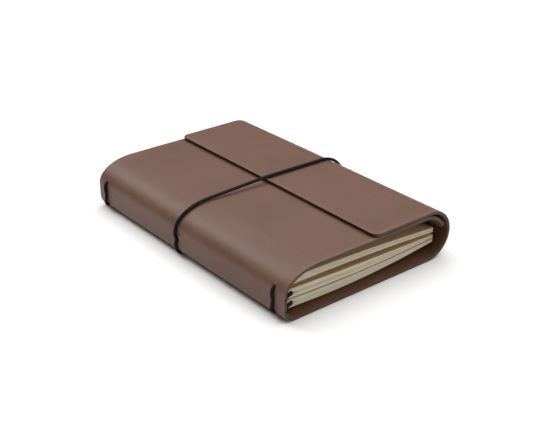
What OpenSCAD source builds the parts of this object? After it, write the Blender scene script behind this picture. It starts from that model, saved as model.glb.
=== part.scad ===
// Refillable leather notebook cover: one sheet of leather folded round three stitched
// booklets, with a fore-edge wrap, a flap, an elastic closure and an elastic binding.
// Frame: X from the spine (-) to the fore-edge (+), Y along the spine, Z up, table at 0.

/* [Leather cover] */
// Length of the leather along the spine
cover_len = 150; // [140:1:180]
// Overall width from the spine to the fore-edge
cover_w = 102; // [101:1:110]
// Thickness of the leather
leather_t = 1.6; // [1.2:0.1:1.8]
// Height of the front cover's outer face above the table
front_h = 24; // [23.5:0.5:28]
// Space between the front cover and the flap that lies on it
flap_gap = 0.3; // [0.2:0.1:1]
// Place of the flap's free edge across the cover
flap_edge_x = 1.4; // [-10:0.2:20]
// Radius of the flap's free corners
corner_r = 3.4; // [2:0.2:10]

/* [Bends] */
// Radius of the bend between the back cover and the spine
low_bend_r = 6; // [5:0.5:6.5]
// Width of the broad bend between the spine and the front cover
top_bend_w = 19.6; // [14:0.2:24]
// Height of the broad bend between the spine and the front cover
top_bend_h = 10.9; // [9:0.1:12]
// Width of the round wrap at the fore-edge
wrap_w = 14; // [12:0.5:16]
// Where the front cover starts to curl down inside the wrap
curl_x = 34; // [30:0.5:35]
// Width of the front cover's curl, as an ellipse's half axis
curl_w = 14.6; // [13:0.1:15]
// Height of the front cover's curl, as an ellipse's half axis
curl_h = 14; // [12:0.5:16]
// Angle through which the front cover's tip curls
curl_angle = 68; // [40:1:70]

/* [Holes in the spine] */
// Distance of the binding holes from each end of the leather
hole_inset = 7.3; // [6:0.1:10]
// Diameter of a binding hole
hole_d = 1.9; // [1.8:0.1:2]
// Height of the upper binding holes
hole_top_z = 15.4; // [14:0.1:17]
// Height of the middle binding holes and of the closure hole
hole_mid_z = 8.9; // [8.5:0.1:10]
// Turn of the lower binding holes round the low bend
hole_low_angle = 30; // [20:1:30]
// Diameter of the closure hole, which takes two strands
closure_hole_d = 3.6; // [3.4:0.1:4]
// Place of the closure hole along the spine
closure_y = 4.5; // [-5:0.5:5]

/* [Elastic] */
// Diameter of the round elastic
elastic_d = 1.5; // [1.2:0.1:1.5]
// How far the closure drifts along the spine for each millimetre across the cover
closure_slant = -0.035; // [-0.08:0.005:0.08]

/* [Booklets] */
// Length of a booklet along the spine
booklet_len = 140; // [120:1:140]
// Width of a booklet from its fold to its fore-edge
booklet_w = 91; // [85:0.5:91]
// Thickness of a booklet's card cover
card_t = 0.35; // [0.25:0.05:0.5]
// Place of the booklets' folds across the cover
fold_x = -46.2; // [-46.4:0.1:-45.5]
// Diameter of the stapling wire
wire_d = 0.5; // [0.4:0.1:0.6]
// Distance between the two staples of a booklet
staple_gap = 70; // [50:1:90]
// Height of the bottom booklet's underside at its fold, its sag and its fore-edge
bottom_under = [4.0, 2.9, 6.4]; // [2.8:0.05:8]
// Height of the bottom booklet's top at the same three places
bottom_top = [8.2, 6.9, 8.1]; // [5:0.05:10]
// Height of the middle booklet's underside
middle_under = [8.6, 7.15, 8.4]; // [6:0.05:11]
// Height of the middle booklet's top
middle_top = [13.2, 11.6, 10.2]; // [8:0.05:14]
// Height of the top booklet's underside
top_under = [14.6, 14.0, 11.4]; // [10:0.05:16]
// Height of the top booklet's top
top_top = [18.4, 17.2, 13.8]; // [13:0.05:19]

/* [Hidden] */
half_w = cover_w / 2;
wrap_h = front_h + flap_gap + leather_t;
wrap_x = half_w - wrap_w;
elastic_r = elastic_d / 2;
// Clear space between the elastic and the leather that it lies on
rest_gap = 0.12;
ride_off = elastic_r + rest_gap;
// Height of the closure elastic's middle where it runs under the back cover
under_z = elastic_r + 0.05;
channel_r = elastic_r + 0.2;
// Leather is pressed thin over the channel
ridge_r = channel_r + 0.8;
hole_y = cover_len / 2 - hole_inset;
bend_steps = 7;
stack_steps = 16;
// Middle of the elastic strand inside a booklet's centre fold
strand_x = fold_x + 3.1;
strand_groove_r = elastic_r + 0.15;
// A booklet sags most at this share of the way from its fold to its fore-edge.
sag_at = 0.45;
bottom_booklet = [bottom_under, bottom_top];
middle_booklet = [middle_under, middle_top];
top_booklet = [top_under, top_top];
leather_colour = [0.42, 0.30, 0.25];
card_colour = [0.62, 0.48, 0.33];
paper_colour = [0.88, 0.84, 0.72];
elastic_colour = [0.08, 0.07, 0.07];
steel_colour = [0.75, 0.75, 0.76];

// ---- Leather profile, seen along the spine ----

// The angle, from the upright side, of the point of a bend that is as far from the
// upright face as from the level one: the fold line of that bend.
function fold_angle(a, b) = acos((a - b) / norm([a, b])) - atan2(b, a);

low_fold = 270 - 45;
top_fold = 180 - fold_angle(top_bend_w, top_bend_h);
wrap_fold = fold_angle(wrap_w, wrap_h / 2);

// Points along part of an ellipse, moved out along its normal by off.
function bend(cx, cz, a, b, from, to, off = 0, n = bend_steps) = [
  for (i = [0 : n])
    let (p = from + (to - from) * i / n, m = norm([cos(p) / a, sin(p) / b]))
      [cx + a * cos(p) + off * cos(p) / a / m, cz + b * sin(p) + off * sin(p) / b / m]
];
function low_bend(from, to, off) =
  bend(-half_w + low_bend_r, low_bend_r, low_bend_r, low_bend_r, from, to, off);
function top_bend(from, to, off) =
  bend(-half_w + top_bend_w, front_h - top_bend_h, top_bend_w, top_bend_h, from, to, off);
function wrap_bend(from, to, off) =
  bend(wrap_x, wrap_h / 2, wrap_w, wrap_h / 2, from, to, off);
function curl(off) =
  bend(curl_x, front_h - curl_h, curl_w, curl_h, 90, 90 - curl_angle, off);

function turned_round(list) = [for (i = [len(list) - 1 : -1 : 0]) list[i]];

function back_face(off) = concat(low_bend(low_fold, 270, off), wrap_bend(-90, -wrap_fold, off));
function spine_face(off) = concat(low_bend(low_fold, 180, off), top_bend(180, top_fold, off));
function front_face(off) = concat(top_bend(top_fold, 90, off), curl(off));
function fore_edge_face(off) = wrap_bend(-wrap_fold, wrap_fold, off);
function flap_face(off) = concat(wrap_bend(wrap_fold, 90, off), [[flap_edge_x, wrap_h + off]]);

module along_spine(length) {
  rotate([90, 0, 0])
    translate([0, 0, -length / 2])
      linear_extrude(length) children();
}

module leather_strip(outer, inner) {
  along_spine(cover_len) polygon(concat(outer, turned_round(inner)));
}

// A plate seen from above, with two rounded corners on its side at x.
module plan_with_round_corners(x_round, x_far, r) {
  side = x_far > x_round ? 1 : -1;
  hy = cover_len / 2;
  linear_extrude(wrap_h + 5) {
    for (s = [-1, 1])
      translate([x_round + side * r, s * (hy - r)]) circle(r, $fn = 48);
    translate([min(x_round, x_round + side * r), -hy + r])
      square([r, 2 * hy - 2 * r]);
    translate([min(x_round + side * r, x_far), -hy])
      square([abs(x_far - x_round) - r, 2 * hy]);
  }
}

// ---- Elastic ----

function unit(v) = v / norm(v);
function tangent(path, i) =
  unit(path[min(i + 1, len(path) - 1)] - path[max(i - 1, 0)]);

// A round cord along a path, as rings of eight points. ref is never along the path.
module cord(path, ref) {
  sides = 8;
  last = len(path) - 1;
  rings = [
    for (i = [0 : last])
      let (t = tangent(path, i), u = unit(cross(t, ref)), v = cross(t, u))
        for (k = [0 : sides - 1])
          path[i] + elastic_r * (u * cos(k * 360 / sides) + v * sin(k * 360 / sides))
  ];
  walls = [
    for (i = [0 : last - 1])
      for (k = [0 : sides - 1])
        let (a = i * sides, b = a + sides, next = (k + 1) % sides)
          for (face = [[a + k, b + next, a + next], [a + k, b + k, b + next]]) face
  ];
  caps = [
    [for (k = [0 : sides - 1]) k],
    [for (k = [sides - 1 : -1 : 0]) last * sides + k]
  ];
  color(elastic_colour) polyhedron(rings, concat(walls, caps));
}

// The closure's upright plane: a point x across the cover lies at this y.
function closure_at(p) = [p[0], closure_y + closure_slant * (p[0] + half_w), p[1]];
closure_turn = atan(closure_slant);
in_x = -half_w + leather_t + 0.6;
out_x = -half_w - ride_off;
strand_rise = elastic_r + 0.05;

// Up out of the hole, round the spine, straight over to the flap's edge, round the wrap,
// back along the channel under the back cover and up into the same hole.
closure_route = [
  for (p = concat(
    [
      [in_x, hole_mid_z + strand_rise],
      [out_x + 0.8, hole_mid_z + strand_rise + 0.05],
      [out_x + 0.12, hole_mid_z + strand_rise + 0.75],
      [out_x, hole_mid_z + strand_rise + 2]
    ],
    top_bend(180, 98, ride_off),
    [[flap_edge_x - 0.3, wrap_h + ride_off], [wrap_x / 2, wrap_h + ride_off]],
    bend(wrap_x, wrap_h / 2, wrap_w, wrap_h / 2, 90, -61, ride_off, 12),
    [for (x = [40 : -26 : -40]) [x, under_z]],
    bend(-half_w + low_bend_r, low_bend_r, low_bend_r, low_bend_r, 229, 180, ride_off, 4),
    [
      [out_x, hole_mid_z - strand_rise - 1.6],
      [out_x + 0.12, hole_mid_z - strand_rise - 0.75],
      [out_x + 0.8, hole_mid_z - strand_rise - 0.05],
      [in_x, hole_mid_z - strand_rise]
    ]
  )) closure_at(p)
];

module closure_elastic() {
  cord(closure_route, [-sin(closure_turn), cos(closure_turn), 0]);
}

knot_r = 1.2;
module closure_knot() {
  color(elastic_colour)
    translate([in_x + knot_r, closure_y, hole_mid_z]) sphere(knot_r, $fn = 24);
}

// The lower binding hole lies on the low bend, square to its face. r is a distance from
// the bend's centre and up a shift along the face towards the middle hole.
low_centre = [-half_w + low_bend_r, low_bend_r];
function low_hole_point(r, up = 0) =
  low_centre - r * [cos(hole_low_angle), sin(hole_low_angle)]
  + up * [-sin(hole_low_angle), cos(hole_low_angle)];

// A stitch from the upper hole down to the lower one, dipping into the middle hole.
stitch_profile = [
  [-half_w + leather_t + 0.2, hole_top_z - 0.1],
  [-half_w - 0.2, hole_top_z + 0.1],
  [out_x + 0.15, hole_top_z - 0.6],
  [out_x - 0.05, hole_top_z - 3],
  [out_x - 0.03, hole_mid_z + 1.4],
  [out_x + 0.5, hole_mid_z],
  [out_x - 0.03, hole_mid_z - 1.4],
  [out_x - 0.07, low_bend_r - 0.6],
  low_hole_point(low_bend_r + 0.76, 0.65),
  low_hole_point(low_bend_r + 0.2, -0.1),
  low_hole_point(low_bend_r - leather_t - 0.2, 0.1)
];

module band_stitch(side) {
  cord([for (p = stitch_profile) [p[0], side * hole_y, p[1]]], [0, 1, 0]);
}
module band_stitch_head() { band_stitch(1); }
module band_stitch_tail() { band_stitch(-1); }

// A strand inside the cover: from a tail hole round the booklet's end, through its
// centre fold and round its other end to the head hole. from is the point inside a hole.
function strand_half(from, fold_z) = [
  [from[0], hole_y, from[1]],
  [from[0] + 0.45, hole_y + 1.3, from[1] + (fold_z - from[1]) * 0.2],
  [fold_x - 1.1, booklet_len / 2 + 0.7, from[1] + (fold_z - from[1]) * 0.55],
  [fold_x + 0.7, booklet_len / 2 + 0.95, from[1] + (fold_z - from[1]) * 0.9],
  [strand_x - 0.5, booklet_len / 2 + 0.85, fold_z],
  [strand_x, booklet_len / 2 - 0.6, fold_z],
  [strand_x, booklet_len / 4, fold_z]
];
function tail_side(points) = [for (p = points) [p[0], -p[1], p[2]]];
module strand(from, fold_z) {
  half = strand_half(from, fold_z);
  cord(concat(tail_side(half), turned_round(half)), [0, 0, 1]);
}

inside_x = -half_w + leather_t + elastic_r + 0.1;
module band_strand_top() { strand([inside_x + 0.6, hole_top_z], mid_level(top_booklet, 0)); }
module band_strand_middle() { strand([inside_x, hole_mid_z], mid_level(middle_booklet, 0)); }
module band_strand_bottom() {
  strand(low_hole_point(low_bend_r - leather_t - 1.1), mid_level(bottom_booklet, 0));
}
// The strand that runs back along the spine's inner face, above the closure's knot.
return_z = hole_mid_z + 3;
module band_strand_return() {
  half = [
    [inside_x, hole_y - 1.7, return_z - 1.6],
    [inside_x, hole_y - 8, return_z],
    [inside_x, hole_y / 3, return_z]
  ];
  cord(concat(tail_side(half), turned_round(half)), [0, 0, 1]);
}
module band_knot() {
  color(elastic_colour)
    translate([inside_x + 0.35, hole_y - 4.1, hole_mid_z - 0.6]) sphere(1.1, $fn = 24);
}

// ---- Leather panels ----

module closure_channel_line(r, x_from, x_to) {
  at_start = closure_at([x_from, under_z]);
  length = (x_to - x_from) / cos(closure_turn);
  translate(at_start) rotate([0, 90, closure_turn]) cylinder(h = length, r = r, $fn = 48);
}

module back_cover() {
  color(leather_colour) difference() {
    union() {
      leather_strip(back_face(0), back_face(-leather_t));
      intersection() {
        closure_channel_line(ridge_r, -half_w + low_bend_r, wrap_x);
        translate([-half_w, -cover_len / 2, leather_t / 2])
          cube([cover_w, cover_len, front_h]);
      }
    }
    closure_channel_line(channel_r, -half_w, half_w - wrap_w / 2 + 0.6);
    translate(closure_at([-half_w, -1]))
      rotate([0, 0, closure_turn])
        translate([0, -channel_r, 0])
          cube([cover_w - wrap_w / 2 + 0.6, 2 * channel_r, 1 + under_z]);
  }
}

module spine() {
  color(leather_colour) difference() {
    leather_strip(spine_face(0), spine_face(-leather_t));
    for (s = [-1, 1]) {
      for (z = [hole_top_z, hole_mid_z])
        translate([-half_w - 1, s * hole_y, z])
          rotate([0, 90, 0]) cylinder(h = leather_t + 3, d = hole_d, $fn = 32);
      translate([low_centre[0], s * hole_y, low_centre[1]])
        rotate([0, -90 - hole_low_angle, 0])
          cylinder(h = low_bend_r + 2, d = hole_d, $fn = 32);
    }
    translate([-half_w - 1, closure_y, hole_mid_z])
      rotate([0, 90, 0]) cylinder(h = leather_t + 3, d = closure_hole_d, $fn = 48);
  }
}

module front_cover() {
  tip_x = curl_x + curl_w * sin(curl_angle);
  color(leather_colour) intersection() {
    leather_strip(front_face(0), front_face(-leather_t));
    plan_with_round_corners(tip_x, -half_w, corner_r);
  }
}

module fore_edge() {
  color(leather_colour) leather_strip(fore_edge_face(0), fore_edge_face(-leather_t));
}

module flap() {
  color(leather_colour) intersection() {
    leather_strip(flap_face(0), flap_face(-leather_t));
    plan_with_round_corners(flap_edge_x, half_w, corner_r);
  }
}

// ---- Booklets ----

// A booklet is the heights of its underside and of its top, each at the fold, the sag and
// the fore-edge. level is the parabola through them, u of the way to the fore-edge.
function level(h, u) =
  h[0] * (u - sag_at) * (u - 1) / sag_at
  + h[1] * u * (1 - u) / (sag_at * (1 - sag_at))
  + h[2] * u * (u - sag_at) / (1 - sag_at);
function mid_level(booklet, u) = (level(booklet[0], u) + level(booklet[1], u)) / 2;

// Points are closest together at the rounded fold.
function share_at(i) = pow(i / stack_steps, 2);
fold_round = 2 / booklet_w;
function fullness(u) = u < fold_round ? sqrt(1 - pow(1 - u / fold_round, 2)) : 1;

// One face of a booklet, side 1 for the upper and -1 for the lower, set in by inset.
function booklet_face(booklet, side, inset = 0) = [
  for (i = [0 : stack_steps])
    let (u = share_at(i))
    let (half = (level(booklet[1], u) - level(booklet[0], u)) / 2 - inset)
      [
        fold_x + inset + u * (booklet_w - inset),
        mid_level(booklet, u) + side * half * fullness(u)
      ]
];
// Everything on one side of a booklet's middle opening, side 1 above it and -1 below.
function half_space(booklet, side) = concat(
  [
    for (i = [0 : stack_steps])
      let (u = share_at(i))
        [fold_x + u * booklet_w, mid_level(booklet, u) + side * leaf_gap]
  ],
  [
    [half_w, mid_level(booklet, 1) + side * leaf_gap],
    [half_w, side * cover_w],
    [-half_w, side * cover_w],
    [-half_w, mid_level(booklet, 0) + side * leaf_gap]
  ]
);

page_inset = card_t + 0.03;
leaf_gap = 0.05;

module booklet_solid(booklet) {
  difference() {
    along_spine(booklet_len) children();
    strand_groove(booklet);
    staple_slots(booklet);
  }
}
module strand_groove(booklet) {
  translate([strand_x, 0, mid_level(booklet, 0)])
    rotate([90, 0, 0]) cylinder(h = booklet_len + 2, r = strand_groove_r, center = true, $fn = 32);
}
module staple_wire(booklet, r) {
  z = mid_level(booklet, 0);
  crown = 11;
  for (s = [-1, 1]) translate([fold_x - wire_d / 2, s * staple_gap / 2, z]) {
    rotate([90, 0, 0]) cylinder(h = crown, r = r, center = true, $fn = 16);
    for (e = [-1, 1]) translate([0, e * (crown / 2 - r), 0])
      rotate([0, 90, 0]) cylinder(h = strand_x - fold_x - elastic_r - 0.1, r = r, $fn = 16);
  }
}
module staple_slots(booklet) { staple_wire(booklet, wire_d / 2 + 0.06); }
module staples(booklet) { color(steel_colour) staple_wire(booklet, wire_d / 2); }

module cover_section(booklet) {
  polygon(concat(
    turned_round(booklet_face(booklet, 1)), booklet_face(booklet, -1),
    turned_round(booklet_face(booklet, -1, card_t)), booklet_face(booklet, 1, card_t)
  ));
}
module pages_section(booklet) {
  polygon(concat(
    turned_round(booklet_face(booklet, 1, page_inset)), booklet_face(booklet, -1, page_inset)
  ));
}
module booklet_cover(booklet) {
  color(card_colour) booklet_solid(booklet) cover_section(booklet);
}
module booklet_pages(booklet) {
  color(paper_colour) booklet_solid(booklet) pages_section(booklet);
}
module half_cover(booklet, side) {
  color(card_colour) booklet_solid(booklet) intersection() {
    cover_section(booklet);
    polygon(half_space(booklet, side));
  }
}
module half_pages(booklet, side) {
  color(paper_colour) booklet_solid(booklet) intersection() {
    pages_section(booklet);
    polygon(half_space(booklet, side));
  }
}

module top_booklet_cover_front() { half_cover(top_booklet, 1); }
module top_booklet_pages_front() { half_pages(top_booklet, 1); }
module top_booklet_cover_back() { half_cover(top_booklet, -1); }
module top_booklet_pages_back() { half_pages(top_booklet, -1); }
module top_booklet_staples() { staples(top_booklet); }
module middle_booklet_cover() { booklet_cover(middle_booklet); }
module middle_booklet_pages() { booklet_pages(middle_booklet); }
module middle_booklet_staples() { staples(middle_booklet); }
module bottom_booklet_cover() { booklet_cover(bottom_booklet); }
module bottom_booklet_pages() { booklet_pages(bottom_booklet); }
module bottom_booklet_staples() { staples(bottom_booklet); }

back_cover();
spine();
front_cover();
fore_edge();
flap();
closure_elastic();
closure_knot();
band_stitch_head();
band_stitch_tail();
band_strand_top();
band_strand_middle();
band_strand_bottom();
band_strand_return();
band_knot();
top_booklet_cover_front();
top_booklet_pages_front();
top_booklet_cover_back();
top_booklet_pages_back();
top_booklet_staples();
middle_booklet_cover();
middle_booklet_pages();
middle_booklet_staples();
bottom_booklet_cover();
bottom_booklet_pages();
bottom_booklet_staples();
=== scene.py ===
"""Looks of a refillable leather notebook cover: one folded sheet of leather, its elastic
closure, the elastic binding through the spine and three stitched booklets.

Lengths in the functions are millimetres; the meshes are written in metres.
"""

import math

import bpy
import numpy as np
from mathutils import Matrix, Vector


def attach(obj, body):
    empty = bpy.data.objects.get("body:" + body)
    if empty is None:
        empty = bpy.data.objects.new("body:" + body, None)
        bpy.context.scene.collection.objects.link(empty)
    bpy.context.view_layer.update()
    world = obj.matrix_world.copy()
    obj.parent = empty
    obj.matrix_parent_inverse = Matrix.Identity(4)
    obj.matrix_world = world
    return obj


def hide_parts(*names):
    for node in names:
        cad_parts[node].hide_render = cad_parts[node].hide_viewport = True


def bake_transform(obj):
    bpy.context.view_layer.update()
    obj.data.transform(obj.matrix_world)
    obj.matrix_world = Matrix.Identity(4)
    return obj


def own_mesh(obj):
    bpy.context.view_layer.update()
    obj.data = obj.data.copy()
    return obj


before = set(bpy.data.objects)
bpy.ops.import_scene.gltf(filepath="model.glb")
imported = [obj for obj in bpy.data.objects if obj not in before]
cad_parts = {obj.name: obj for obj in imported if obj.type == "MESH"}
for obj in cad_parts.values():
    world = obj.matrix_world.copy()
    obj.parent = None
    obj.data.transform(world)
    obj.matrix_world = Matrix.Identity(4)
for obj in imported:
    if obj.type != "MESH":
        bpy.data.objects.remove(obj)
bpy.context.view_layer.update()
MM = 0.001

# ---- Sizes of the leather, the elastic and the booklets ----

COVER_LEN = 150.0
HALF_LEN = COVER_LEN / 2
HALF_W = 51.0
LEATHER = 1.6
FRONT_H = 24.0
WRAP_H = 25.9
FLAP_EDGE = 1.4
CORNER = 3.4
LOW_R = 6.0
TOP_W, TOP_H = 19.6, 10.9
WRAP_W = 14.0
CURL_X, CURL_W, CURL_H, CURL_TURN = 34.0, 14.6, 14.0, 68.0
RIM = 0.42
HOLE_Y = 67.7
HOLE_R = 0.95
HOLE_TOP, HOLE_MID = 15.4, 8.9
HOLE_LOW_TURN = 30.0
CLOSURE_Y, CLOSURE_SLANT = 4.5, -0.035
CLOSURE_HOLE_R = 1.8
ELASTIC_R = 0.8
RIDE = 0.87
UNDER_Z = 0.8
FOLD_X, BOOK_W, BOOK_HALF = -46.2, 91.0, 70.0
STRAND_X = -43.1
CARD = 0.22
SAG_AT = 0.45
HEIGHTS = {
    "bottom": ((4.0, 2.9, 6.4), (8.2, 6.9, 8.1)),
    "middle": ((8.6, 7.15, 8.4), (13.2, 11.6, 10.2)),
    "top": ((14.6, 14.0, 11.4), (18.4, 17.2, 13.8)),
}
HANG = {"bottom": 0.3, "middle": 0.25, "top": 0.1}


# ---- Camera, floor and lights ----


def add_camera():
    """Stands off the spine side and the tail, looking down at the cover."""
    lens = bpy.data.cameras.new("camera")
    lens.sensor_width = 36.0
    lens.lens = 70.69
    lens.clip_start, lens.clip_end = 0.01, 20.0
    camera = bpy.data.objects.new("camera", lens)
    bpy.context.collection.objects.link(camera)
    camera.location = (-0.29367, -0.36357, 0.24010)
    aim = Vector((0.5626, 0.69698, -0.44464))
    camera.rotation_mode = "QUATERNION"
    camera.rotation_quaternion = aim.to_track_quat("-Z", "Y")
    bpy.context.scene.camera = camera


def add_light(name, place, aim, size, power, colour=(1.0, 1.0, 1.0)):
    """A square soft box at a place, facing the point aim."""
    lamp = bpy.data.lights.new(name, "AREA")
    lamp.shape = "RECTANGLE"
    lamp.size, lamp.size_y = size
    lamp.energy = power
    lamp.color = colour
    box = bpy.data.objects.new(name, lamp)
    bpy.context.collection.objects.link(box)
    box.location = place
    box.rotation_mode = "QUATERNION"
    box.rotation_quaternion = (Vector(aim) - Vector(place)).to_track_quat("-Z", "Y")


# ---- Node helpers ----


class Shader:
    """A material with its nodes, wired by short calls."""

    def __init__(self, name):
        self.material = bpy.data.materials.new(name)
        self.material.use_nodes = True
        self.tree = self.material.node_tree
        self.tree.nodes.clear()
        self.surface = self.add("ShaderNodeBsdfPrincipled")
        out = self.add("ShaderNodeOutputMaterial")
        self.tree.links.new(self.surface.outputs[0], out.inputs["Surface"])

    def add(self, kind, **values):
        """A node with its properties set."""
        node = self.tree.nodes.new(kind)
        for key, value in values.items():
            setattr(node, key, value)
        return node

    def put(self, node, **inputs):
        """Sets or links inputs by name, with _ for a space in the name."""
        for key, value in inputs.items():
            name = key.replace("_", " ")
            numbered = key[0] == "i" and key[1:].isdigit()
            socket = node.inputs[int(key[1:]) if numbered else name]
            if isinstance(value, bpy.types.NodeSocket):
                self.tree.links.new(value, socket)
            else:
                socket.default_value = value
        return node

    def attribute(self, name):
        """The vector and the number that a piece carries under this name."""
        return self.add("ShaderNodeAttribute", attribute_name=name)

    def place(self):
        """The point in the object's own frame."""
        return self.add("ShaderNodeTexCoord").outputs["Object"]

    def scaled(self, vector, scale):
        """The vector stretched by a scale on each axis."""
        node = self.put(self.add("ShaderNodeMapping"), Vector=vector, Scale=scale)
        return node.outputs[0]

    def noise(self, vector, scale, detail=2.0, rough=0.5, twist=0.0):
        """Cloudy noise from 0 to 1."""
        node = self.add("ShaderNodeTexNoise")
        self.put(node, Vector=vector, Scale=scale, Detail=detail, Roughness=rough, Distortion=twist)
        return node.outputs["Fac"]

    def cells(self, vector, scale, feature="F1"):
        """Distance within irregular cells."""
        node = self.add("ShaderNodeTexVoronoi", feature=feature)
        self.put(node, Vector=vector, Scale=scale)
        return node.outputs["Distance"]

    def spread(self, value, low, high, to_low=0.0, to_high=1.0):
        """A number moved smoothly from one span to another."""
        node = self.add("ShaderNodeMapRange", interpolation_type="SMOOTHSTEP")
        self.put(node, i0=value, i1=low, i2=high, i3=to_low, i4=to_high)
        return node.outputs[0]

    def maths(self, how, a, b=0.0):
        """One sum on two numbers."""
        return self.put(self.add("ShaderNodeMath", operation=how), i0=a, i1=b).outputs[0]

    def mix(self, factor, a, b):
        """One colour passing to another."""
        node = self.add("ShaderNodeMix", data_type="RGBA")
        return self.put(node, i0=factor, i6=a, i7=b).outputs[2]

    def bump(self, height, strength, depth, normal=None):
        """A relief of this depth, in metres, over the surface."""
        node = self.put(self.add("ShaderNodeBump"), Height=height, Strength=strength, Distance=depth)
        if normal is not None:
            self.put(node, Normal=normal)
        return node.outputs[0]


def shade(red, green, blue):
    """A colour from its display values out of 255, as linear light."""
    c = np.array([red, green, blue]) / 255.0
    linear = np.where(c <= 0.04045, c / 12.92, ((c + 0.055) / 1.055) ** 2.4)
    return (*[float(v) for v in linear], 1.0)


# ---- Materials ----


def leather_material():
    """Smooth satin leather: cloudy brown grain side, burnished cut edge, raw flesh side.
    The piece's sheet attribute gives its place along, across and through the leather."""
    m = Shader("leather")
    sheet = m.attribute("sheet")
    wear = m.attribute("wear").outputs["Fac"]
    along = sheet.outputs["Vector"]
    depth = m.add("ShaderNodeSeparateXYZ")
    m.put(depth, Vector=along)
    depth = depth.outputs[2]
    cloud = m.noise(along, 22.0, 3.0, 0.55, 0.4)
    mottle = m.noise(along, 150.0, 4.0, 0.6)
    pores = m.cells(along, 2300.0)
    grain = m.noise(along, 1500.0, 3.0, 0.6)
    crease = m.cells(m.scaled(along, (1.0, 0.45, 1.0)), 620.0, "DISTANCE_TO_EDGE")
    tone = m.mix(m.spread(cloud, 0.3, 0.72), shade(98, 66, 52), shade(106, 73, 58))
    tone = m.mix(m.spread(mottle, 0.35, 0.75, 0.0, 0.3), tone, shade(112, 79, 64))
    tone = m.mix(m.spread(crease, 0.0, 0.09, 0.16, 0.0), tone, shade(72, 48, 39))
    tone = m.mix(m.spread(pores, 0.0, 0.28, 0.22, 0.0), tone, shade(68, 44, 35))
    tone = m.mix(m.maths("MULTIPLY", wear, m.spread(mottle, 0.3, 0.6, 0.3, 1.0)), tone, shade(124, 90, 74))
    fibre = m.noise(m.scaled(along, (1.0, 0.7, 1.0)), 800.0, 5.0, 0.7, 0.4)
    flesh = m.mix(m.spread(fibre, 0.3, 0.7), shade(74, 47, 29), shade(106, 70, 42))
    flesh = m.mix(m.spread(cloud, 0.3, 0.7, 0.0, 0.5), flesh, shade(86, 56, 33))
    cut = m.mix(m.spread(grain, 0.35, 0.65), shade(38, 25, 20), shade(56, 38, 30))
    raw = m.mix(m.spread(grain, 0.3, 0.7), shade(126, 78, 44), shade(156, 102, 62))
    cut = m.mix(m.attribute("raw").outputs["Fac"], cut, raw)
    edge = m.spread(depth, -0.00010, -0.00034)
    inside = m.spread(depth, -0.00128, -0.00152)
    colour = m.mix(inside, m.mix(edge, tone, cut), flesh)
    rough = m.spread(mottle, 0.3, 0.7, 0.44, 0.52)
    rough = m.maths("ADD", rough, m.maths("MULTIPLY", inside, 0.4))
    rough = m.maths("ADD", rough, m.maths("MULTIPLY", wear, 0.06))
    fine = m.maths("ADD", m.spread(pores, 0.0, 0.45), m.maths("MULTIPLY", grain, 0.7))
    fine = m.maths("ADD", fine, m.spread(crease, 0.0, 0.10, 0.0, 0.8))
    relief = m.mix(inside, fine, m.maths("MULTIPLY", fibre, 5.0))
    normal = m.bump(cloud, 0.12, 0.0006)
    normal = m.bump(relief, 0.32, 0.00003, normal)
    m.put(m.surface, Base_Color=colour, Roughness=rough, Normal=normal)
    m.put(m.surface, Specular_IOR_Level=0.42, Sheen_Weight=0.03, Sheen_Roughness=0.5)
    m.surface.inputs["Sheen Tint"].default_value = shade(200, 180, 168)
    return m.material


def elastic_material():
    """Round braided elastic, near black: diagonal threads crossing both ways round the
    cord, from the piece's own map (length along it, turns round it). The colour is
    darker in the grooves between the threads, as painted shade."""
    m = Shader("elastic")
    braid = m.add("ShaderNodeUVMap", uv_map="along").outputs[0]
    split = m.put(m.add("ShaderNodeSeparateXYZ"), Vector=braid)
    length, turn = split.outputs[0], split.outputs[1]
    pitch = m.maths("MULTIPLY", length, 900.0 * math.pi)
    turns = m.maths("MULTIPLY", turn, 8.0 * math.pi)
    right = m.maths("SINE", m.maths("ADD", pitch, turns))
    left = m.maths("SINE", m.maths("SUBTRACT", pitch, turns))
    thread = m.maths("MAXIMUM", right, left)
    fuzz = m.noise(m.place(), 5200.0, 2.0)
    # Painted shade: the cord is darker in the grooves between the threads and lighter on their crests.
    groove_shade = m.spread(thread, -0.4, 1.0)
    colour = m.mix(groove_shade, shade(5, 4, 4), shade(19, 16, 16))
    colour = m.mix(m.spread(fuzz, 0.55, 0.8, 0.0, 0.4), colour, shade(40, 35, 34))
    rough = m.spread(fuzz, 0.3, 0.7, 0.6, 0.78)
    height = m.maths("ADD", thread, m.maths("MULTIPLY", fuzz, 0.6))
    m.put(m.surface, Base_Color=colour, Roughness=rough)
    m.put(m.surface, Normal=m.bump(height, 0.6, 0.00007))
    m.surface.inputs["Specular IOR Level"].default_value = 0.22
    return m.material


def card_material():
    """Brown kraft card: matt, with long fibres and small dark and pale flecks."""
    m = Shader("card")
    place = m.place()
    fibre = m.noise(m.scaled(place, (1.0, 0.22, 1.0)), 900.0, 4.0, 0.65, 0.3)
    fleck = m.cells(m.scaled(place, (1.0, 0.5, 1.0)), 700.0)
    cloud = m.noise(place, 60.0, 3.0)
    colour = m.mix(m.spread(fibre, 0.3, 0.7), shade(138, 106, 72), shade(166, 132, 94))
    colour = m.mix(m.spread(cloud, 0.3, 0.7, 0.0, 0.35), colour, shade(150, 115, 80))
    colour = m.mix(m.spread(fleck, 0.02, 0.12, 0.55, 0.0), colour, shade(96, 70, 46))
    height = m.maths("ADD", fibre, m.maths("MULTIPLY", fleck, 0.4))
    m.put(m.surface, Base_Color=colour, Roughness=m.spread(fibre, 0.3, 0.7, 0.72, 0.88))
    m.put(m.surface, Normal=m.bump(height, 0.35, 0.00005), Specular_IOR_Level=0.3)
    return m.material


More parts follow.
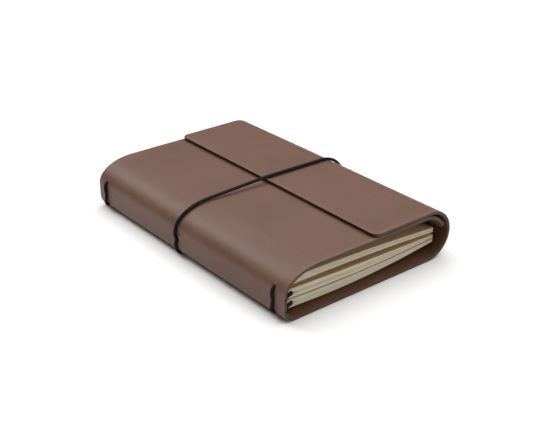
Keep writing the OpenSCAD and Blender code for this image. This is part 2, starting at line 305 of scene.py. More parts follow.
def paper_material():
    """Cream writing paper: faint cloudiness in the sheet and short fibres."""
    m = Shader("paper")
    place = m.place()
    leaf = m.attribute("leaf").outputs["Fac"]
    fibre = m.noise(m.scaled(place, (1.0, 0.35, 1.0)), 1600.0, 3.0, 0.6)
    cloud = m.noise(place, 70.0, 3.0)
    colour = m.mix(m.spread(cloud, 0.3, 0.7), shade(236, 229, 210), shade(241, 235, 219))
    colour = m.mix(m.spread(fibre, 0.35, 0.75, 0.0, 0.3), colour, shade(228, 219, 197))
    colour = m.mix(m.maths("MULTIPLY", leaf, 0.45), colour, shade(204, 193, 166))
    m.put(m.surface, Base_Color=colour, Roughness=m.spread(fibre, 0.3, 0.7, 0.78, 0.9))
    m.put(m.surface, Normal=m.bump(fibre, 0.25, 0.00003), Specular_IOR_Level=0.25)
    return m.material


def steel_material():
    """Bright drawn wire with fine lines along it and a few dull spots."""
    m = Shader("wire")
    place = m.place()
    lines = m.noise(m.scaled(place, (6.0, 0.4, 6.0)), 2500.0, 3.0, 0.6)
    dull = m.noise(place, 900.0, 2.0)
    colour = m.mix(m.spread(dull, 0.4, 0.75), shade(196, 196, 198), shade(150, 148, 146))
    rough = m.maths("ADD", m.spread(dull, 0.3, 0.8, 0.2, 0.4), m.maths("MULTIPLY", lines, 0.1))
    m.put(m.surface, Base_Color=colour, Roughness=rough, Metallic=1.0)
    m.put(m.surface, Normal=m.bump(lines, 0.2, 0.00001))
    return m.material


def floor_material():
    """Plain pale matt floor, very slightly uneven."""
    m = Shader("floor")
    cloud = m.noise(m.place(), 6.0, 2.0)
    colour = m.mix(m.spread(cloud, 0.3, 0.7), shade(250, 250, 250), shade(252, 252, 252))
    m.put(m.surface, Base_Color=colour, Roughness=0.9, Specular_IOR_Level=0.1)
    return m.material


LEATHER_LOOK = leather_material()
ELASTIC_LOOK = elastic_material()
CARD_LOOK = card_material()
PAPER_LOOK = paper_material()
STEEL_LOOK = steel_material()


# ---- Meshes ----


def make_piece(name, points, faces, look, flat_from=None):
    """An object from points in millimetres and a list of faces. Faces from flat_from on
    are shaded flat. A shell that came out inside out is turned."""
    mesh = bpy.data.meshes.new(name)
    mesh.from_pydata((points * MM).tolist(), [], faces)
    smooth = np.ones(len(mesh.polygons), bool)
    if flat_from is not None:
        smooth[flat_from:] = False
    mesh.polygons.foreach_set("use_smooth", smooth)
    mesh.update()
    if signed_volume(mesh) < 0:
        mesh.flip_normals()
    mesh.materials.append(look)
    piece = bpy.data.objects.new(name, mesh)
    bpy.context.collection.objects.link(piece)
    return piece


def signed_volume(mesh):
    """Six times the volume inside the shell: the triangles' triple products, summed."""
    mesh.calc_loop_triangles()
    corners = np.zeros(len(mesh.loop_triangles) * 3, np.int32)
    mesh.loop_triangles.foreach_get("vertices", corners)
    place = np.zeros(len(mesh.vertices) * 3)
    mesh.vertices.foreach_get("co", place)
    a, b, c = place.reshape(-1, 3)[corners.reshape(-1, 3)].transpose(1, 0, 2)
    return float(np.sum(a * np.cross(b, c)))


def carry(piece, name, kind, values):
    """Keeps a number or a vector at each point of the piece, for its material."""
    attribute = piece.data.attributes.new(name, kind, "POINT")
    field = "vector" if kind == "FLOAT_VECTOR" else "value"
    attribute.data.foreach_set(field, np.ascontiguousarray(values, np.float32).ravel())


def grid_faces(index):
    """Quads between neighbouring rows and columns of a table of point numbers."""
    return np.stack([index[:-1, :-1], index[:-1, 1:], index[1:, 1:], index[1:, :-1]], -1).reshape(-1, 4)


# ---- The folded sheet of leather ----


def arc(cx, cz, a, b, start, stop):
    """Points round part of an ellipse, a quarter of a millimetre apart or less."""
    count = int(abs(stop - start) / 90.0 * max(a, b) * 8) + 8
    t = np.radians(np.linspace(start, stop, count))
    return np.stack([cx + a * np.cos(t), cz + b * np.sin(t)], 1)


def line(a, b):
    """Points along a straight line, a quarter of a millimetre apart."""
    a, b = np.array(a, float), np.array(b, float)
    count = int(np.linalg.norm(b - a) * 4) + 2
    return a + (b - a) * np.linspace(0, 1, count)[:, None]


def joined(parts):
    """Curves joined end to end, each point once."""
    points = np.concatenate(parts)
    step = np.linalg.norm(np.diff(points, axis=0), axis=1)
    return points[np.concatenate([[True], step > 1e-6])]


def sheet_curve():
    """The leather's outer face seen along the spine, from the flap's free edge over the
    fore-edge, under the back, up the spine and over the front to the front's tip: straight
    lines and parts of ellipses. Gives length along it, points and outward normals."""
    wrap_x = HALF_W - WRAP_W
    points = joined([
        line((FLAP_EDGE, WRAP_H), (wrap_x, WRAP_H)),
        arc(wrap_x, WRAP_H / 2, WRAP_W, WRAP_H / 2, 90, -90),
        line((wrap_x, 0), (LOW_R - HALF_W, 0)),
        arc(LOW_R - HALF_W, LOW_R, LOW_R, LOW_R, 270, 180),
        line((-HALF_W, LOW_R), (-HALF_W, FRONT_H - TOP_H)),
        arc(TOP_W - HALF_W, FRONT_H - TOP_H, TOP_W, TOP_H, 180, 90),
        line((TOP_W - HALF_W, FRONT_H), (CURL_X, FRONT_H)),
        arc(CURL_X, FRONT_H - CURL_H, CURL_W, CURL_H, 90, 90 - CURL_TURN),
    ])
    s = np.concatenate([[0], np.cumsum(np.linalg.norm(np.diff(points, axis=0), axis=1))])
    tangent = np.gradient(points, s, axis=0)
    tangent /= np.linalg.norm(tangent, axis=1, keepdims=True)
    normal = np.stack([-tangent[:, 1], tangent[:, 0]], 1)
    return s, points, normal


CURVE_S, CURVE_P, CURVE_N = sheet_curve()


def along(x, z):
    """Length along the leather's curve of the point on it nearest to x, z."""
    return float(CURVE_S[np.argmin(np.hypot(CURVE_P[:, 0] - x, CURVE_P[:, 1] - z))])


def on_curve(s, off=0.0):
    """Points x, z at lengths s along the leather's curve, moved out along its normal."""
    x, z, nx, nz = (np.interp(s, CURVE_S, c) for c in (*CURVE_P.T, *CURVE_N.T))
    return x + off * nx, z + off * nz


SHEET_END = CURVE_S[-1]
S_FLAP = along(35.6, WRAP_H)
S_EDGE_TOP = along(HALF_W - 0.1, WRAP_H / 2 + 1.6)
S_EDGE_LOW = along(HALF_W - 0.1, WRAP_H / 2 - 1.6)
S_BACK_FORE = along(35.6, 0)
S_BACK_SPINE = along(-44.4, 0)
S_SPINE_LOW = along(-HALF_W, 6.5)
S_SPINE_TOP = along(-HALF_W, 11.6)
S_FRONT = along(-30.0, FRONT_H)


def bell(d, width):
    """1 near d = 0, falling smoothly to 0 about one width away."""
    return np.exp(-((d / width) ** 2))


def ramp(value, low, high):
    """0 below low, 1 above high, and a smooth step between."""
    t = np.clip((value - low) / (high - low), 0, 1)
    return t * t * (3 - 2 * t)


def sheet_relief(s, y, depth):
    """How far the leather stands out from its curve, in millimetres: long shallow
    waves, a slightly fuller spine, dents where the elastic presses, and the channel under
    the back, with its low ridge inside. depth is 0 on the outer face and 1 inside."""
    x, z = on_curve(s)
    waves = 0.07 * np.sin(s / 17.0 + y / 31.0) + 0.06 * np.sin(y / 19.0 - s / 41.0 + 1.3)
    waves *= ramp(z, 1.5, 8.0)
    spine = ramp(s, S_BACK_SPINE + 2, S_SPINE_LOW + 2) * (1 - ramp(s, S_SPINE_TOP, S_FRONT))
    full = 0.5 * spine * np.cos(np.clip(y / HALF_LEN, -1, 1) * math.pi / 2) ** 0.5
    from_elastic = y - CLOSURE_Y - CLOSURE_SLANT * (x + HALF_W)
    under = ramp(x, -48.5, -46.0) * (1 - ramp(x, 43.0, 46.5)) * (1 - ramp(z, 1.0, 2.6))
    channel = under * np.exp(-((from_elastic / 1.55) ** 4))
    sunk = channel * (1.75 * (1 - depth) + 0.95 * depth)
    pressed = 0.22 * bell(from_elastic, 2.6) * ramp(z, 6.0, 16.0)
    return waves + full - sunk - pressed


def half_length(s, start_free, end_free, s_low, s_high):
    """Half the leather's length at s: full, less the rounding of a free end's corners."""
    half = np.full(len(s), HALF_LEN)
    for free, gap in ((start_free, s - s_low), (end_free, s_high - s)):
        if free:
            inside = np.clip(CORNER - gap, 0, CORNER)
            half = np.minimum(half, HALF_LEN - CORNER + np.sqrt(CORNER**2 - inside**2))
    return half


def spaced(low, high, step, extra=()):
    """Even steps from low to high with a close pair at each end, so that the shading of
    neighbouring pieces meets, and room made for the extra values."""
    count = max(int(round((high - low) / step)), 2)
    values = np.linspace(low, high, count + 1)
    values = np.concatenate([values, [low + 0.03, high - 0.03]])
    for block in extra:
        keep = (values < block[0] - 0.12) | (values > block[-1] + 0.12)
        ends = np.isclose(values, low) | np.isclose(values, high)
        values = np.concatenate([values[keep | ends], block])
    return np.unique(np.round(values, 5))


HOLE_STEPS = np.linspace(-1, 1, 9)


def leather_piece(name, s_low, s_high, step, holes=(), start_free=False, end_free=False):
    """Part of the leather between two lengths along its curve. A rounded rectangle across
    the sheet is carried along the curve; at a free end it draws in round the corners and
    thins to a rounded edge. Each hole (s, y, radius) is a bore with rounded rims in a
    square patch of the grid, whose edge is joined ring by ring to the bore's circle."""
    reach = 1.9
    widest = max((h[2] for h in holes), default=0)
    rows_in = [holes[0][0] + reach * widest * HOLE_STEPS] if holes else []
    s = spaced(s_low, s_high, step, rows_in)
    thin = np.zeros(len(s))
    turn = np.radians(np.array([22.5, 45.0, 67.5, 90.0]))
    corner = CORNER * (1 - np.sin(np.radians(np.arange(10, 90, 8.0))))
    for free, end, sign in ((start_free, s_low, 1), (end_free, s_high, -1)):
        if free:
            clear = np.abs(s - end) > CORNER
            rim = end + sign * RIM * (1 - np.sin(turn))
            body = end + sign * corner[corner > RIM * 1.05]
            s = np.concatenate([s[clear], body, [end + sign * RIM], rim])
            thin = np.concatenate([thin[clear], np.zeros(len(body) + 1), RIM * (1 - np.cos(turn))])
            order = np.argsort(s)
            s, thin = s[order], thin[order]
    patches = [h[1] + reach * h[2] * HOLE_STEPS for h in holes]
    flat = HALF_LEN - RIM
    y = (np.linspace(-flat, -3, 45), np.linspace(-2.5, 8.5, 23), np.linspace(9.5, flat, 41))
    y = np.concatenate(y)
    for patch in patches:
        y = np.concatenate([y[(y < patch[0] - 0.3) | (y > patch[-1] + 0.3)], patch])
    y = np.sort(y)
    bend_in = np.radians(np.array([22.5, 45.0, 67.5, 90.0]))
    side_y = np.concatenate([flat + RIM * np.sin(bend_in), flat + RIM * np.cos(bend_in[:-1])])
    side_off = np.concatenate([-RIM * (1 - np.cos(bend_in)), RIM - LEATHER - RIM * np.sin(bend_in[:-1])])
    side_y = np.insert(side_y, 4, HALF_LEN)
    side_off = np.insert(side_off, 4, RIM - LEATHER)
    loop_y = np.concatenate([y, side_y, y[::-1], -side_y[::-1]])
    loop_off = np.concatenate([0 * y, side_off, 0 * y - LEATHER, side_off[::-1]])
    half = half_length(s, start_free, end_free, s_low, s_high)
    grow = (LEATHER / 2 - thin) / (LEATHER / 2)
    grid_s = np.repeat(s[:, None], len(loop_y), 1)
    grid_y = loop_y[None] * (half / HALF_LEN)[:, None]
    grid_off = -LEATHER / 2 + (loop_off[None] + LEATHER / 2) * grow[:, None]
    count = len(s) * len(loop_y)
    index = np.arange(count).reshape(len(s), len(loop_y))
    wrapped = np.concatenate([index, index[:, :1]], 1)
    quads = grid_faces(wrapped).reshape(len(s) - 1, len(loop_y), 4)
    kept = np.ones(quads.shape[:2], bool)
    sheet = [np.stack([grid_s, grid_y, grid_off], -1).reshape(-1, 3)]
    strips = []
    inner = lambda j: len(y) + len(side_y) + len(y) - 1 - j
    for (hole_s, hole_y, radius), patch in zip(holes, patches):
        i0, i1 = (int(np.argmin(abs(s - v))) for v in (rows_in[0][0], rows_in[0][-1]))
        j0, j1 = (int(np.argmin(abs(y - v))) for v in (patch[0], patch[-1]))
        kept[i0:i1, j0:j1] = False
        kept[i0:i1, inner(j1):inner(j0)] = False
        wide, deep = j1 - j0, i1 - i0
        i = [np.full(wide, i0), np.arange(i0, i1), np.full(wide, i1), np.arange(i1, i0, -1)]
        j = [np.arange(j0, j1), np.full(deep, j1), np.arange(j1, j0, -1), np.full(deep, j0)]
        i, j = np.concatenate(i), np.concatenate(j)
        angle = np.arctan2(y[j] - hole_y, s[i] - hole_s)
        soft = min(0.28, radius * 0.3)
        rim_r = [1.45 * radius, radius + soft, radius + 0.3 * soft, radius]
        rings_r = np.array(rim_r + rim_r[::-1])
        rim_off = np.array([0, 0, -0.3 * soft, -soft])
        rings_off = np.concatenate([rim_off, -LEATHER - rim_off[::-1]])
        ring_s = hole_s + rings_r[:, None] * np.cos(angle)
        ring_y = hole_y + rings_r[:, None] * np.sin(angle)
        ring = np.stack([ring_s, ring_y, np.repeat(rings_off[:, None], len(i), 1)], -1)
        first = sum(len(part) for part in sheet)
        sheet.append(ring.reshape(-1, 3))
        numbers = first + np.arange(ring.shape[0] * ring.shape[1]).reshape(ring.shape[:2])
        bands = np.concatenate([index[i, j][None], numbers, index[i, inner(j)][None]])
        strips.append(grid_faces(np.concatenate([bands, bands[:, :1]], 1)))
    sheet = np.concatenate(sheet)
    faces = np.concatenate([quads[kept].reshape(-1, 4)] + strips).tolist()
    smooth_faces = len(faces)
    faces += [index[0][::-1].tolist(), index[-1].tolist()]
    depth = np.clip(-sheet[:, 2] / LEATHER, 0, 1)
    off = sheet[:, 2] + sheet_relief(sheet[:, 0], sheet[:, 1], depth)
    x, z = on_curve(sheet[:, 0], off)
    used = np.unique(np.concatenate([np.array(f) for f in faces]))
    renumber = np.full(len(sheet), -1)
    renumber[used] = np.arange(len(used))
    faces = [renumber[f].tolist() for f in faces]
    piece = make_piece(name, np.stack([x, sheet[:, 1], z], 1)[used], faces, LEATHER_LOOK, smooth_faces)
    carry(piece, "sheet", "FLOAT_VECTOR", sheet[used] * MM)
    carry(piece, "wear", "FLOAT", leather_wear(sheet[used]))
    carry(piece, "raw", "FLOAT", raw_at_holes(sheet[used], holes))
    return piece


def leather_wear(sheet):
    """How rubbed the leather is, from 0 to 1: along its cut ends, its free edges and the
    crest of each bend."""
    s, y = sheet[:, 0], sheet[:, 1]
    ends = bell(HALF_LEN - np.abs(y), 1.6) * 0.55
    free = np.maximum(bell(s, 1.6), bell(SHEET_END - s, 1.6)) * 0.55
    bends = [along(-49.2, 1.8), along(-46.8, 19.8), along(47.0, 22.0), along(47.0, 3.9)]
    crest = sum(bell(s - b, 5.0) for b in bends) * 0.22
    return np.clip(np.maximum(np.maximum(ends, free), crest), 0, 1)


def raw_at_holes(sheet, holes):
    """1 on the walls of the binding's holes, where the leather's raw core shows, and 0 elsewhere."""
    raw = np.zeros(len(sheet))
    for s, y, radius in (h for h in holes if h[2] < CLOSURE_HOLE_R):
        raw = np.maximum(raw, np.hypot(sheet[:, 0] - s, sheet[:, 1] - y) < radius * 1.35)
    return raw


def bending(piece):
    """Writes the piece's placement into its own points and returns it."""
    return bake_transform(piece)


def build_leather():
    """The nine stretches of the sheet: five panels and the four bends between them."""
    turn = math.radians(HOLE_LOW_TURN)
    low_s = along(LOW_R - HALF_W - LOW_R * math.cos(turn), LOW_R - LOW_R * math.sin(turn))
    top_s = along(-50.55, HOLE_TOP)
    mid_s = along(-HALF_W, HOLE_MID)
    flap = leather_piece("flap_leather", 0.0, S_FLAP, 2.0, start_free=True)
    flap_bend = leather_piece("flap_bend_leather", S_FLAP, S_EDGE_TOP, 0.6)
    fore = leather_piece("fore_edge_leather", S_EDGE_TOP, S_EDGE_LOW, 0.6)
    fore_bend = leather_piece("fore_edge_bend_leather", S_EDGE_LOW, S_BACK_FORE, 0.6)
    back = leather_piece("back_cover_leather", S_BACK_FORE, S_BACK_SPINE, 1.6)
    low = [(low_s, side * HOLE_Y, HOLE_R) for side in (-1, 1)]
    spine_bend = leather_piece("spine_low_bend_leather", S_BACK_SPINE, S_SPINE_LOW, 0.4, low)
    middle = [(mid_s, side * HOLE_Y, HOLE_R) for side in (-1, 1)] + [(mid_s, CLOSURE_Y, CLOSURE_HOLE_R)]
    spine = leather_piece("spine_leather", S_SPINE_LOW, S_SPINE_TOP, 0.5, middle)
    top = [(top_s, side * HOLE_Y, HOLE_R) for side in (-1, 1)]
    front_bend = leather_piece("spine_top_bend_leather", S_SPINE_TOP, S_FRONT, 0.5, top)
    front = leather_piece("front_cover_leather", S_FRONT, SHEET_END, 1.6, end_free=True)
    panels = (
        (flap, "flap", "flap"),
        (fore, "fore_edge", "fore_edge"),
        (back, "back", "back_cover"),
        (spine, "spine", "spine"),
        (front, "front", "front_cover"),
    )
    for piece, body, node in panels:
        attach(piece, body)
        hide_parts(node)
    bending(flap_bend)
    bending(fore_bend)
    bending(spine_bend)
    bending(front_bend)


# ---- Elastic ----


def even(points, step):
    """The same path with points evenly spaced by about one step."""
    s = np.concatenate([[0], np.cumsum(np.linalg.norm(np.diff(points, axis=0), axis=1))])
    at = np.linspace(0, s[-1], max(int(s[-1] / step), 4) + 1)
    return np.stack([np.interp(at, s, c) for c in points.T], 1)


def eased(points, step, reach):
    """A path with its corners rounded: each point becomes the mean of its neighbours
    within reach, twice over, and the two ends stay."""
    path = even(np.array(points, float), step)
    half = max(int(reach / step / 2), 1)
    for _ in range(2):
        before, after = 2 * path[:1] - path[half:0:-1], 2 * path[-1:] - path[-2:-half - 2:-1]
        padded = np.concatenate([before, path, after])
        total = np.cumsum(np.concatenate([np.zeros((1, path.shape[1])), padded]), axis=0)
        path = (total[2 * half + 1:] - total[:-2 * half - 1]) / (2 * half + 1)
    return path


def cord_piece(name, path, across, radius=ELASTIC_R, sides=14, closed=False):
    """A round cord: a circle carried square to the path, turned by the direction across,
    which the path never runs along. Its ends are rounded over."""
    if closed:
        tangent = np.roll(path, -1, 0) - np.roll(path, 1, 0)
        radii = np.full(len(path), radius)
    else:
        dome = np.radians(np.array([90.0, 60.0, 30.0]))
        lead = radius * (1 - np.sin(dome))
        into, onward = path[1] - path[0], path[-1] - path[-2]
        first = path[0] - into / np.linalg.norm(into) * lead[:, None]
        last = path[-1] + onward / np.linalg.norm(onward) * lead[:, None]
        ends = radius * np.sin(dome)
        path = np.concatenate([first[:0:-1], path, last[1:]])
        radii = np.concatenate([ends[:0:-1], np.full(len(path) - 2 * (len(dome) - 1), radius), ends[1:]])
        tangent = np.gradient(path, axis=0)
    tangent /= np.linalg.norm(tangent, axis=1, keepdims=True)
    side = np.cross(tangent, np.array(across, float))
    side /= np.linalg.norm(side, axis=1, keepdims=True)
    up = np.cross(side, tangent)
    t = np.linspace(0, 2 * math.pi, sides, endpoint=False)
    ring = side[:, None] * np.cos(t)[None, :, None] + up[:, None] * np.sin(t)[None, :, None]
    points = path[:, None] + radii[:, None, None] * ring
    index = np.arange(points.shape[0] * sides).reshape(-1, sides)
    table = np.concatenate([index, index[:, :1]], 1)
    if closed:
        table = np.concatenate([table, table[:1]])
    faces = grid_faces(table).tolist()
    if not closed:
        faces += [index[0][::-1].tolist(), index[-1].tolist()]
    piece = make_piece(name, points.reshape(-1, 3), faces, ELASTIC_LOOK)
    length = np.concatenate([[0], np.cumsum(np.linalg.norm(np.diff(path, axis=0), axis=1))])
    corners = np.zeros(len(piece.data.loops), np.int32)
    piece.data.loops.foreach_get("vertex_index", corners)
    row, column = corners // sides, corners % sides
    uv = np.stack([length[row] * MM, column / sides], 1)
    starts = np.zeros(len(piece.data.polygons), np.int32)
    sizes = np.zeros(len(piece.data.polygons), np.int32)
    piece.data.polygons.foreach_get("loop_start", starts)
    piece.data.polygons.foreach_get("loop_total", sizes)
    face = np.repeat(np.arange(len(starts)), sizes)
    widest = np.maximum.reduceat(uv[:, 1], starts)[face]
    uv[:, 1] += np.where((widest - uv[:, 1] > 0.5) & (sizes[face] == 4), 1.0, 0.0)
    piece.data.uv_layers.new(name="along").data.foreach_set("uv", uv.astype(np.float32).ravel())
    return piece


def closure_path():
    """Out of the hole in the spine, up round the top bend, straight to the flap's edge,
    round the fore-edge, back in the channel under the back cover and into the same hole."""
    in_x, out_x = -HALF_W + LEATHER + 0.6, -HALF_W - RIDE
    rise = ELASTIC_R + 0.05
    bulge = 0.45
    top = arc(TOP_W - HALF_W, FRONT_H - TOP_H, TOP_W + RIDE, TOP_H + RIDE, 172, 98)
    over = arc(HALF_W - WRAP_W, WRAP_H / 2, WRAP_W + RIDE, WRAP_H / 2 + RIDE, 90, -61)
    low = arc(LOW_R - HALF_W, LOW_R, LOW_R + RIDE, LOW_R + RIDE, 229, 190)
    route = joined([
        np.array([[in_x, HOLE_MID + rise], [out_x + 0.5 - bulge, HOLE_MID + rise + 0.1]]),
        np.array([[out_x - bulge, HOLE_MID + rise + 0.9], [out_x - bulge, HOLE_MID + 3.5]]),
        top,
        np.array([[FLAP_EDGE - 0.4, WRAP_H + RIDE]]),
        over,
        np.array([[40.0, UNDER_Z], [-40.0, UNDER_Z]]),
        low,
        np.array([[out_x - bulge, HOLE_MID - rise - 0.9]]),
        np.array([[out_x + 0.5 - bulge, HOLE_MID - rise - 0.1], [in_x, HOLE_MID - rise]]),
    ])
    y = CLOSURE_Y + CLOSURE_SLANT * (route[:, 0] + HALF_W)
    return eased(np.stack([route[:, 0], y, route[:, 1]], 1), 0.35, 2.4)


def stitch_path(side):
    """Out of the upper hole, down the spine, dipping into the middle hole, and round the
    low bend into the lower hole."""
    turn = math.radians(HOLE_LOW_TURN)
    face_x = -HALF_W
    centre = np.array([LOW_R - HALF_W, LOW_R])
    out = np.array([-math.cos(turn), -math.sin(turn)])
    up = np.array([-math.sin(turn), math.cos(turn)])
    low = lambda r, lift=0.0: tuple(centre + r * out + lift * up)
    route = [
        (face_x + LEATHER + 0.3, HOLE_TOP - 0.1), (face_x + 0.1, HOLE_TOP), (face_x - 0.55, HOLE_TOP - 0.55),
        (face_x - 1.0, HOLE_TOP - 2.2), (face_x - 1.05, HOLE_TOP - 3.8), (face_x - 0.85, HOLE_MID + 1.3),
        (face_x - 0.35, HOLE_MID), (face_x - 0.8, HOLE_MID - 1.3), (face_x - 0.95, HOLE_MID - 2.8),
        low(6.95, 2.6), low(6.7, 0.7), low(6.1, -0.05), low(6.0 - LEATHER - 0.3, 0.1),
    ]
    x, z = np.array(route).T
    return eased(np.stack([x, np.full(len(x), side * HOLE_Y), z], 1), 0.25, 1.0)


def level(heights, u):
    """The parabola through a booklet face's heights at its fold, its sag and its
    fore-edge, at a share u of the way to the fore-edge."""
    at_fold, at_sag, at_edge = heights
    return (
        at_fold * (u - SAG_AT) * (u - 1) / SAG_AT
        + at_sag * u * (1 - u) / (SAG_AT * (1 - SAG_AT))
        + at_edge * u * (u - SAG_AT) / (1 - SAG_AT)
    )


def middle_and_half(name, u):
    """Height of a booklet's centre fold and half its thickness, at the share u."""
    low, high = (level(heights, u) for heights in HEIGHTS[name])
    return (low + high) / 2, (high - low) / 2


def strand_path(x, z, name):
    """From a hole near the tail, round the booklet's end, through its centre fold, round
    its other end and to the hole near the head."""
    fold_z = middle_and_half(name, 0.0)[0]
    half = np.array([
        (x, HOLE_Y, z),
        (x + 0.45, HOLE_Y + 1.3, z + (fold_z - z) * 0.2),
        (FOLD_X - 1.1, BOOK_HALF + 0.85, z + (fold_z - z) * 0.55),
        (FOLD_X + 0.7, BOOK_HALF + 1.0, z + (fold_z - z) * 0.9),
        (STRAND_X - 0.5, BOOK_HALF + 0.85, fold_z),
        (STRAND_X, BOOK_HALF - 0.6, fold_z),
        (STRAND_X, BOOK_HALF / 2, fold_z),
    ])
    return eased(np.concatenate([half * (1, -1, 1), half[::-1]]), 0.5, 1.6)


def knot_piece(name, centre, size):
    """A tight overhand knot: a thinner cord along a trefoil, which winds three times
    round a small ring while it goes twice round it."""
    t = np.linspace(0, 2 * math.pi, 90, endpoint=False)
    ring = 1.0 + 0.5 * np.cos(3 * t)
    path = np.stack([0.55 * np.sin(3 * t), ring * np.cos(2 * t), ring * np.sin(2 * t)], 1)
    return cord_piece(name, np.array(centre) + size * 0.42 * path, (1, 0.01, 0), size * 0.4, 12, closed=True)


def build_elastic():
    """The closure, the two stitches outside the spine, the strands inside and the knots."""
    turn = math.atan(CLOSURE_SLANT)
    closure = cord_piece("closure_elastic_cord", closure_path(), (-math.sin(turn), math.cos(turn), 0))
    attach(closure, "closure")
    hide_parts("closure_elastic")
    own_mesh(closure)
    for side, end in ((1, "head"), (-1, "tail")):
        stitch = cord_piece(f"binding_stitch_{end}", stitch_path(side), (0, 1, 0))
        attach(stitch, "spine")
        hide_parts(f"band_stitch_{end}")
    in_x = -HALF_W + LEATHER + ELASTIC_R + 0.1
    turn = math.radians(HOLE_LOW_TURN)
    low_r = LOW_R - LEATHER - 1.1
    starts = {
        "top": (in_x + 0.6, HOLE_TOP),
        "middle": (in_x, HOLE_MID),
        "bottom": (LOW_R - HALF_W - low_r * math.cos(turn), LOW_R - low_r * math.sin(turn)),
    }
    for name, (x, z) in starts.items():
        strand = cord_piece(f"binding_strand_{name}", strand_path(x, z, name), (0, 0, 1))
        stretch(strand)
        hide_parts(f"band_strand_{name}")
    z = HOLE_MID + 3
    half = np.array([(in_x, HOLE_Y - 1.7, z - 1.6), (in_x, HOLE_Y - 8, z), (in_x, HOLE_Y / 3, z)])
    route = eased(np.concatenate([half * (1, -1, 1), half[::-1]]), 0.5, 3.0)
    back_run = cord_piece("binding_strand_return", route, (0, 0, 1))
    stretch(back_run)
    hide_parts("band_strand_return")
    knot = knot_piece("binding_knot", (in_x + 0.45, HOLE_Y - 4.1, HOLE_MID - 0.6), 1.5)
    stretch(knot)
    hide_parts("band_knot")
    stop = knot_piece("closure_stop_knot", (-HALF_W + LEATHER + 0.6 + 1.35, CLOSURE_Y, HOLE_MID), 1.7)
    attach(stop, "spine")
    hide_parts("closure_knot")


def stretch(piece):
    """Writes the inner strand's placement into its own points and returns it."""
    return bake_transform(piece)


# ---- Booklets ----


def thick_sheet(outer, inner):
    """Points and faces of a closed sheet between two matching grids of points."""
    rows, columns = outer.shape[:2]
    points = np.concatenate([outer.reshape(-1, 3), inner.reshape(-1, 3)])
    top = np.arange(rows * columns).reshape(rows, columns)
    low = top + rows * columns
    rim = [
        np.stack([low[0], top[0]]), np.stack([top[-1], low[-1]]),
        np.stack([top[:, 0], low[:, 0]]), np.stack([low[:, -1], top[:, -1]]),
    ]
    faces = [grid_faces(top), grid_faces(low[:, ::-1])] + [grid_faces(r) for r in rim]
    return points, np.concatenate(faces), sum(len(f) for f in faces[:2])


def fold_span(part):
    """Places along a folded sheet, from -1 at the lower leaf's fore-edge through 0 at the
    fold to 1 at the upper leaf's: a leaf runs from 0.3 to 1 and the fold within 0.3."""
    leaf = 0.3 + 0.7 * np.linspace(0, 1, 26) ** 1.4
    nose = np.linspace(-0.3, 0.3, 19)
    spans = {
        "lower": -leaf[::-1],
        "fold": nose,
        "upper": leaf,
        "whole": np.concatenate([-leaf[::-1], nose[1:-1], leaf]),
    }
    return spans[part]


def folded_surface(name, span, y, inset, share):
    """One surface of a folded sheet. The fold is a half circle whose radius is the
    booklet's half thickness less the inset, times the share; each leaf then follows the
    booklet's half thickness out to the fore-edge, easing round the elastic in the fold."""
    w = np.abs(span)[:, None]
    side = np.sign(span)[:, None]
    half_0 = middle_and_half(name, 0.0)[1]
    radius = (half_0 - inset) * share[:, :1].mean()
    centre_x = FOLD_X + half_0
    fold_turn = np.clip(w / 0.2, 0, 1) * math.pi / 2
    out = np.clip((w - 0.2) / 0.1, 0, 1) * (STRAND_X + 0.8 - centre_x)
    reach = FOLD_X + BOOK_W - STRAND_X - 0.8
    far = np.clip((w - 0.3) / 0.7, 0, 1) * reach
    x = centre_x - radius * np.cos(fold_turn) + out + far + 0 * y[None]
    u = np.clip((x - FOLD_X) / BOOK_W, 0, 1)
    middle, half = middle_and_half(name, u)
    off_mid = (half - inset) * share * np.sin(fold_turn)
    room = 1 - off_mid / half
    off_mid = off_mid + 0.9 * bell(x - STRAND_X, 1.5) * room * np.minimum(1, w / 0.05)
    z = middle + side * off_mid
    return np.stack([x, y[None] + 0 * x, z], -1)


def droop(points, name):
    """Lets a booklet hang towards the back cover near its two ends, less at the
    fore-edge."""
    x, y, z = points[..., 0], points[..., 1], points[..., 2]
    u = np.clip((x - FOLD_X) / BOOK_W, 0, 1)
    hang = HANG[name] * ramp(np.abs(y), 30, BOOK_HALF) * (1 - 0.75 * ramp(u, 0.4, 1.0))
    return np.stack([x, y, z - hang], -1)


def folded_sheet(name, span, y, inset, thick, share):
    """A closed folded sheet of this thickness, its outer surface at the inset."""
    outer = droop(folded_surface(name, span, y, inset, share), name)
    u = np.clip((outer[..., 0] - FOLD_X) / BOOK_W, 0, 1)
    half = middle_and_half(name, u)[1] - inset
    inner_share = np.clip(share - thick / half, 0.004, 1)
    inner = droop(folded_surface(name, span, y, inset, inner_share), name)
    return thick_sheet(outer, inner)


def booklet_cover(name, part, title):
    """A booklet's card cover, or one stretch of it."""
    y = np.linspace(-BOOK_HALF, BOOK_HALF, 15)
    span = fold_span(part)
    share = np.ones((len(span), len(y)))
    points, faces, smooth = folded_sheet(name, span, y, 0.0, CARD * 0.96, share)
    piece = make_piece(title, points, faces.tolist(), CARD_LOOK, smooth)
    return piece


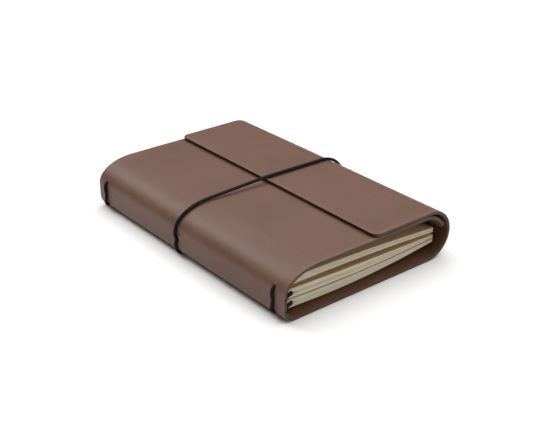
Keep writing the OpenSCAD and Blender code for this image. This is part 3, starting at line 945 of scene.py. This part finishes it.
def booklet_pages(name, part, title, seed, sheets=11):
    """The folded sheets inside a booklet, or one stretch of them. The leaves' spacing is
    uneven and changes slowly along and across the booklet, so that some stand apart."""
    luck = np.random.default_rng(seed)
    y = np.linspace(-BOOK_HALF, BOOK_HALF, 13)
    span = fold_span(part)
    gaps = 0.55 + luck.random((4, sheets)) ** 3 * 2.2
    edges = np.cumsum(gaps, axis=1) / gaps.sum(axis=1, keepdims=True)
    from_fold = ramp(np.abs(span), 0.3, 1.0)[:, None]
    from_tail = ramp(y, -BOOK_HALF, BOOK_HALF)[None]
    all_points, all_faces, shade_of = [], [], []
    sides, first = [], 0
    for k in range(sheets):
        share = (
            edges[0, k] * (1 - from_fold)
            + edges[2, k] * from_fold * (1 - from_tail) + edges[3, k] * from_fold * from_tail
        )
        tight = float(gaps[:, k].min() / gaps.sum(axis=1).max())
        thick = 0.86 * tight * (0.9 if k else 0.7)
        trim = 0.25 * luck.random()
        lean = 0.3 * (luck.random() - 0.5)
        surface = folded_surface(name, span, y, CARD + 0.04, share)
        inner = folded_surface(name, span, y, CARD + 0.04, np.clip(share - thick, 0.004, 1))
        for grid in (surface, inner):
            grid[..., 0] -= trim * from_fold
            grid[..., 1] += lean * 0.5
        points, faces, _ = thick_sheet(droop(surface, name), droop(inner, name))
        all_points.append(points)
        all_faces.append(faces + first)
        shade_of.append(np.full(len(points), luck.random() ** 2))
        first += len(points)
    piece = make_piece(title, np.concatenate(all_points), np.concatenate(all_faces).tolist(), PAPER_LOOK, 0)
    carry(piece, "leaf", "FLOAT", np.concatenate(shade_of))
    return piece


def build_booklets():
    """Three booklets: the two lower ones whole, the top one able to open at its middle."""
    for seed, name in enumerate(("bottom", "middle")):
        cover = booklet_cover(name, "whole", f"{name}_booklet_card")
        pages = booklet_pages(name, "whole", f"{name}_booklet_sheets", seed + 3)
        for piece, node in ((cover, f"{name}_booklet_cover"), (pages, f"{name}_booklet_pages")):
            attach(piece, "back")
            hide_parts(node)
    for part, ending in (("lower", "back"), ("upper", "front"), ("fold", "fold")):
        cover = booklet_cover("top", part, f"top_booklet_card_{ending}")
        pages = booklet_pages("top", part, f"top_booklet_sheets_{ending}", 9)
        for piece, node in ((cover, "top_booklet_cover"), (pages, "top_booklet_pages")):
            if part == "fold":
                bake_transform(piece)
            else:
                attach(piece, "back" if part == "lower" else "top_booklet_half")
                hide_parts(f"{node}_{ending}")


def dress_staples():
    """Gives the staples' wire its metal."""
    for name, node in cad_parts.items():
        if name.endswith("_staples"):
            node.data.materials.clear()
            node.data.materials.append(STEEL_LOOK)


def build_stage():
    """A plain pale floor, one wide soft box overhead and a dim even room."""
    size = 4.0
    corners = [(-size, -size, 0), (size, -size, 0), (size, size, 0), (-size, size, 0)]
    mesh = bpy.data.meshes.new("floor")
    mesh.from_pydata(corners, [], [(0, 1, 2, 3)])
    mesh.materials.append(floor_material())
    floor = bpy.data.objects.new("floor", mesh)
    bpy.context.collection.objects.link(floor)
    world = bpy.data.worlds.new("studio")
    world.use_nodes = True
    sky = world.node_tree.nodes["Background"]
    sky.inputs["Color"].default_value = (1.0, 1.0, 1.0, 1.0)
    sky.inputs["Strength"].default_value = 0.14
    bpy.context.scene.world = world
    add_light("overhead_box", (0.35, 0.15, 1.1), (0.25, 0.1, 0), (1.7, 1.9), 22.0)
    add_light("back_strip", (-0.32, 1.1, 1.08), (0, 0, 0), (0.7, 0.42), 7.5)
    add_light("front_box", (0.45, -1.2, 0.32), (0, 0, 0.01), (0.8, 0.5), 5.5)
    bpy.context.scene.view_settings.view_transform = "Standard"


add_camera()
build_leather()
build_elastic()
build_booklets()
dress_staples()
build_stage()
